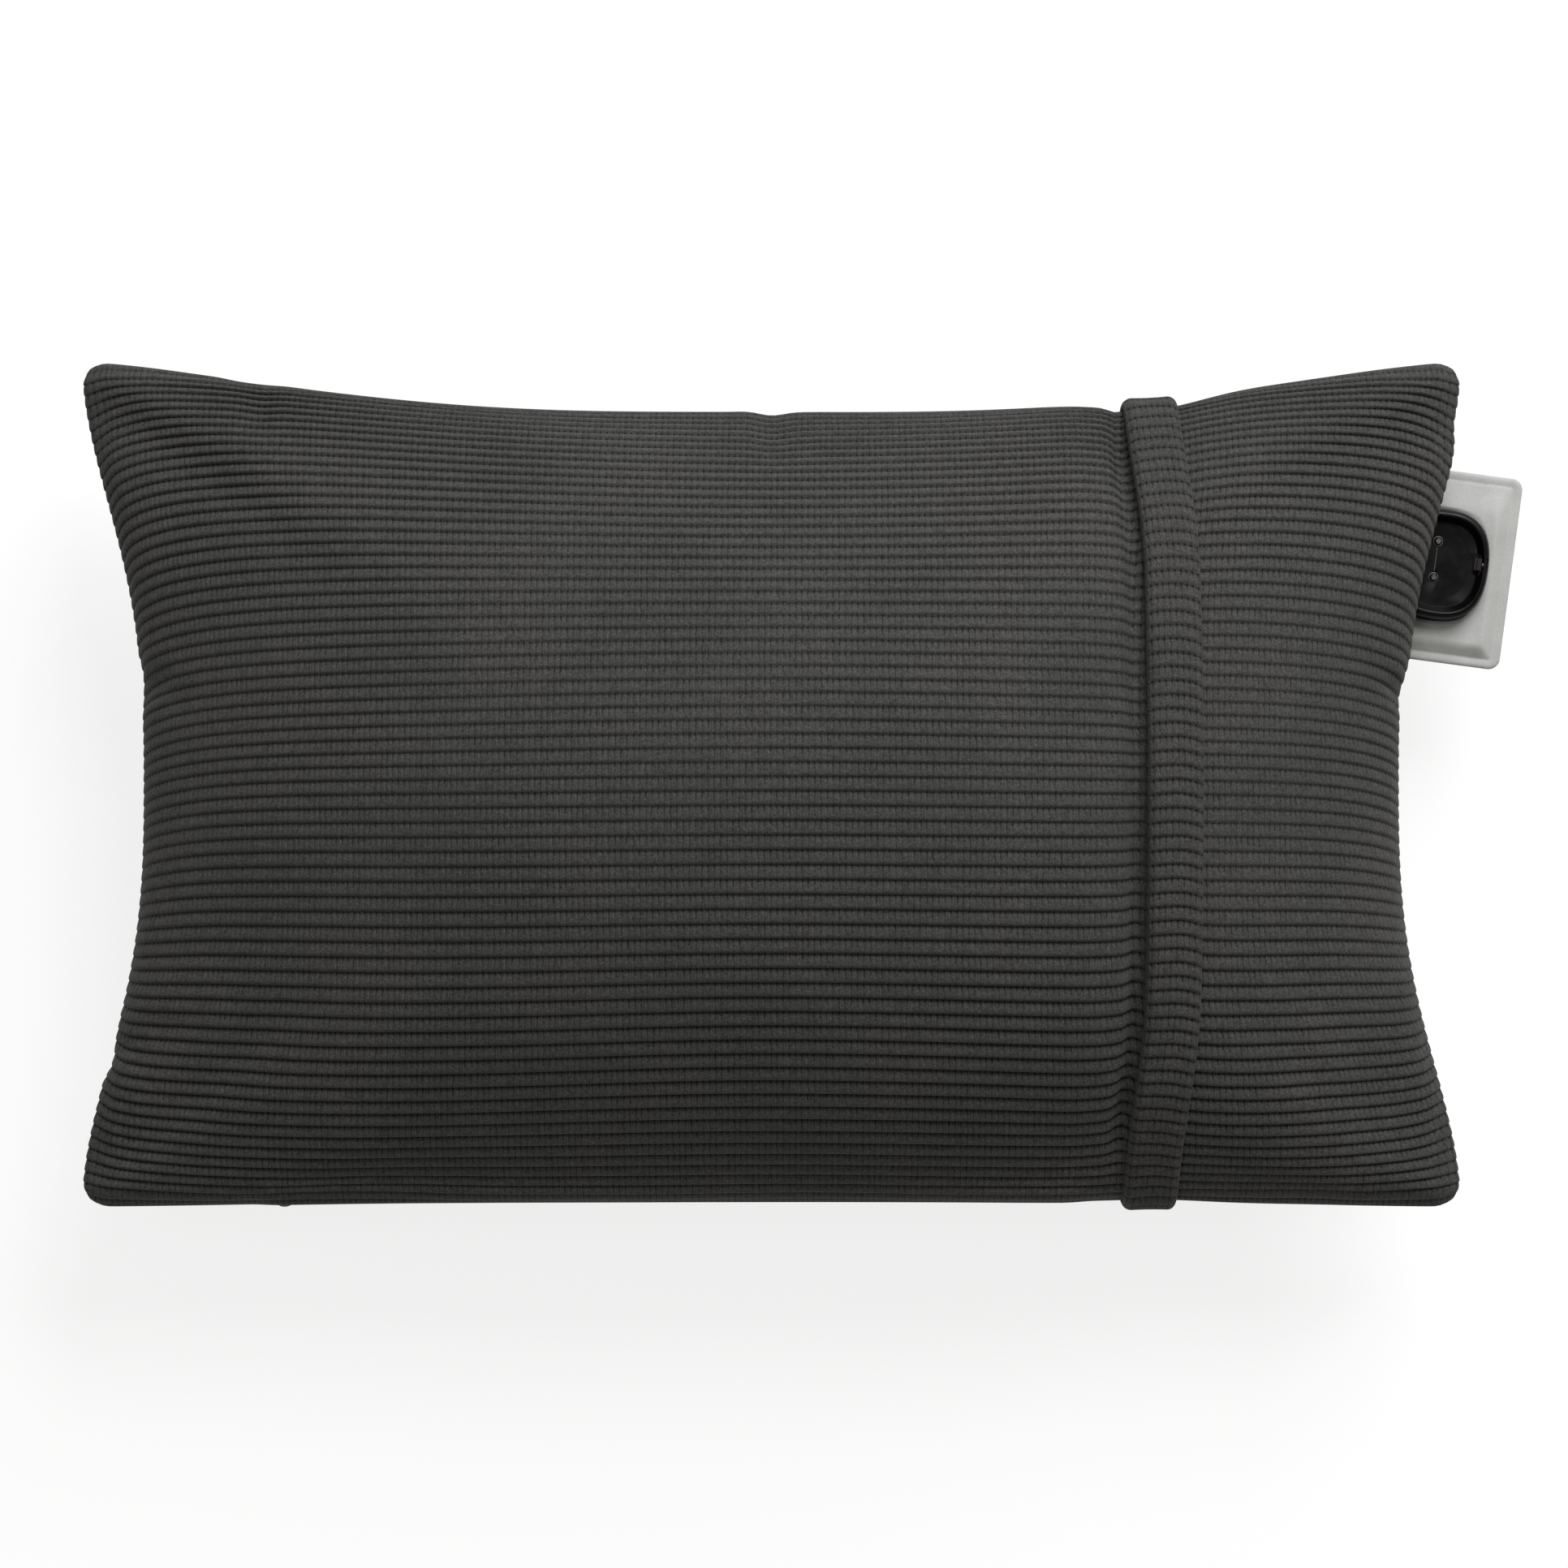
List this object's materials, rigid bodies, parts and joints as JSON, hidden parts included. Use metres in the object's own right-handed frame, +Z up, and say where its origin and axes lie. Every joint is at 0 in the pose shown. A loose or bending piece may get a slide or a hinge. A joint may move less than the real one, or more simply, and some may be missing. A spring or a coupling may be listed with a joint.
{
  "type": "camp pillow",
  "caption": "Rectangular heated cushion in a rib-knit cover with a loop band, a hidden zip, and a padded side tab that carries a clip-in battery dock.",
  "frame": {"origin": "centre of the flat patch of the back panel that the cushion rests on", "axes": "+X along the cushion's length towards the side with the tab, +Y across it towards its upper edge, +Z up out of the front panel"},
  "size_m": [0.6306, 0.3739, 0.1732],
  "materials": {
    "rib_knit": "matt rib knit with broad ridges and narrow dark grooves",
    "band_knit": "matt rib knit, ridges across the band",
    "zip_tape": "woven polyester tape",
    "zip_coil": "satin nylon coil",
    "zip_metal": "black painted zinc",
    "casing_fabric": "plain woven lining",
    "wadding": "soft polyester wadding",
    "fibre_fill": "loose polyester fibre",
    "heating_mat": "thin non-woven carrier",
    "heating_wire": "smooth insulated carbon-fibre wire",
    "cutout_case": "plain pressed case",
    "lead_jacket": "smooth black insulation",
    "tab_fabric": "fine light grey woven fabric",
    "foam": "open-cell foam",
    "dock_plastic": "black gloss moulding",
    "inner_plastic": "plain moulding",
    "steel": "plain steel",
    "circuit_board": "solder-masked board",
    "contact_metal": "gold-plated",
    "latch_plastic": "satin dark red-brown moulding"
  },
  "bodies": {
    "cushion": {"cover_front": "rib_knit", "cover_back": "rib_knit", "zip_tape_front": "zip_tape", "zip_tape_back": "zip_tape", "zip_coil_front": "zip_coil", "zip_coil_back": "zip_coil", "zip_closed_stop": "zip_metal", "zip_open_stop": "zip_metal", "casing_front": "casing_fabric", "casing_back": "casing_fabric", "wadding_front": "wadding", "heating_mat": "heating_mat", "heating_wire": "heating_wire", "thermal_cutout": "cutout_case", "lead_splice": "lead_jacket", "lead_cable": "lead_jacket", "fibre_core": "fibre_fill", "tab_root_strip_upper": "tab_fabric", "tab_root_strip_lower": "tab_fabric"},
    "band": {"carry_band": "band_knit"},
    "tab": {"tab_front_panel": "tab_fabric", "tab_back_panel": "tab_fabric", "tab_foam": "foam", "dock_housing": "dock_plastic", "dock_back_plate": "inner_plastic", "dock_screw_1": "steel", "dock_screw_2": "steel", "dock_screw_3": "steel", "dock_screw_4": "steel", "circuit_board": "circuit_board", "contact_spring_upper": "steel", "contact_spring_lower": "steel", "latch_spring": "steel"},
    "upper_contact": {"contact_pin_upper": "contact_metal"},
    "lower_contact": {"contact_pin_lower": "contact_metal"},
    "latch": {"latch_button": "latch_plastic"},
    "slider": {"zip_slider": "zip_metal"},
    "pull": {"zip_pull": "zip_metal"}
  },
  "joints": [
    {"name": "tab_swing", "type": "hinge", "parent": "cushion", "child": "tab", "pos_m": [0.2662, 0.0998, 0.0635], "axis": [0.1323, 0.9912, 0], "range_deg": [0, 22], "stiffness_Nm_per_rad": 0.15, "springref_deg": -6.88, "deforming": ["lead_cable"]},
    {"name": "upper_contact_press", "type": "slide", "parent": "tab", "child": "upper_contact", "axis": [0, 0, -1], "range_m": [0, 0.0012], "stiffness_N_per_m": 400, "springref_m": -0.0008, "deforming": ["contact_spring_upper"]},
    {"name": "lower_contact_press", "type": "slide", "parent": "tab", "child": "lower_contact", "axis": [0, 0, -1], "range_m": [0, 0.0012], "stiffness_N_per_m": 400, "springref_m": -0.0008, "deforming": ["contact_spring_lower"]},
    {"name": "latch_press", "type": "slide", "parent": "tab", "child": "latch", "axis": [0.9912, -0.1323, 0], "range_m": [0, 0.0012], "stiffness_N_per_m": 400, "springref_m": -0.0008, "deforming": ["latch_spring"]},
    {"name": "band_slide", "type": "slide", "parent": "cushion", "child": "band", "axis": [1, 0, 0], "range_m": [0, 0.02]},
    {"name": "zip_slide", "type": "slide", "parent": "cushion", "child": "slider", "axis": [1, 0, 0], "range_m": [0, 0.33]},
    {"name": "zip_pull_swing", "type": "hinge", "parent": "slider", "child": "pull", "pos_m": [-0.2125, -0.1824, 0.078], "axis": [0, 0, -1], "range_deg": [0, 160]}
  ]
}
